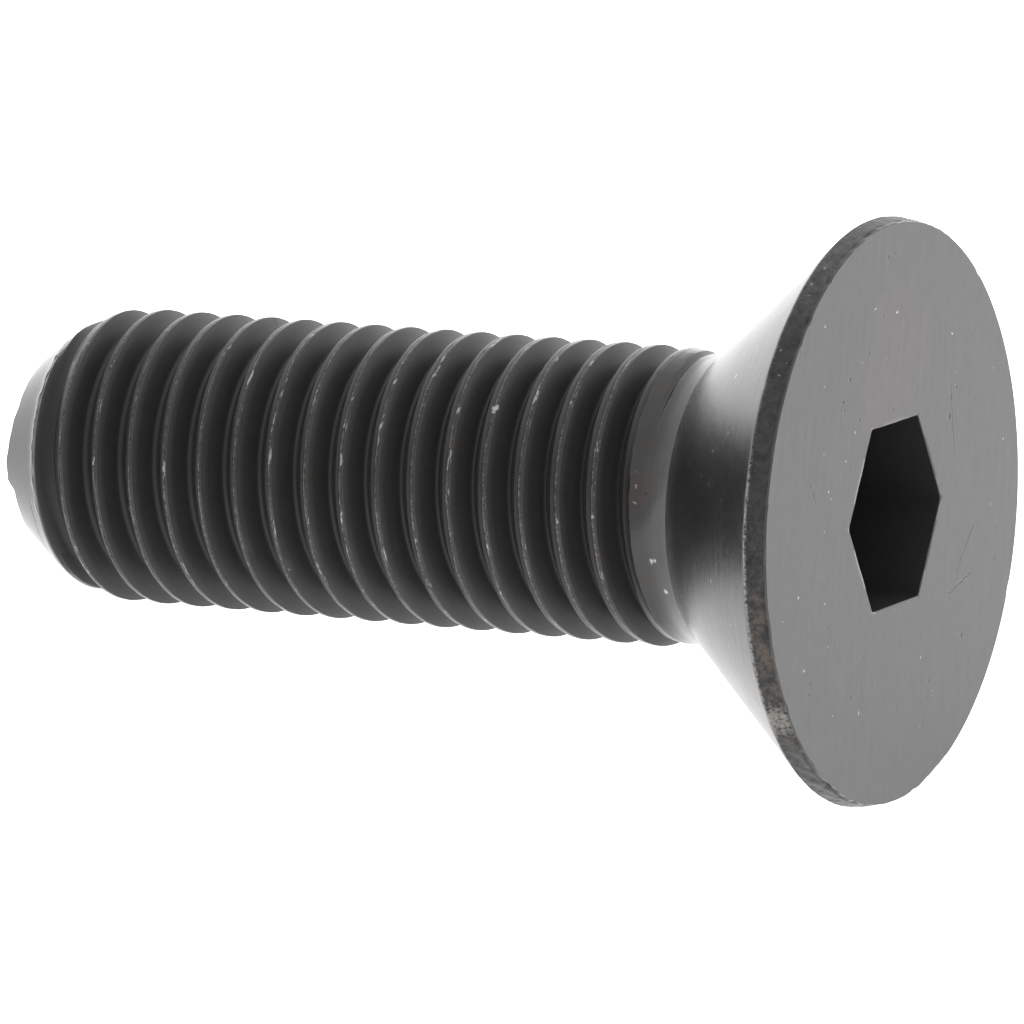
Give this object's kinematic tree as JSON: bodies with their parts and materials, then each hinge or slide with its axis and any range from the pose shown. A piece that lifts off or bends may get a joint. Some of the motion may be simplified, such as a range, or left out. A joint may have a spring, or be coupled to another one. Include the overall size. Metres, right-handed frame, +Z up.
{
  "type": "countersunk socket screw",
  "caption": "Short countersunk screw with a hexagon socket in its flat head, a flared neck and a rolled right-hand thread up to a blunt point, in blackened steel.",
  "frame": {"origin": "on the table under the middle of the screw's bounding box, as the screw lies at rest on its head's rim and its last full crest", "axes": "+X towards the head, +Y across the screw, +Z up; the screw's own axis lies in the XZ plane and tips 9.7 degrees down from the head to the point"},
  "size_m": [0.0264, 0.0154, 0.0152],
  "materials": {
    "black_oxide_steel": "black oxide over steel, satin on the head face, darker and oiled in the thread, worn bright on the crests"
  },
  "bodies": {
    "root": {"screw": "black_oxide_steel"}
  },
  "joints": []
}
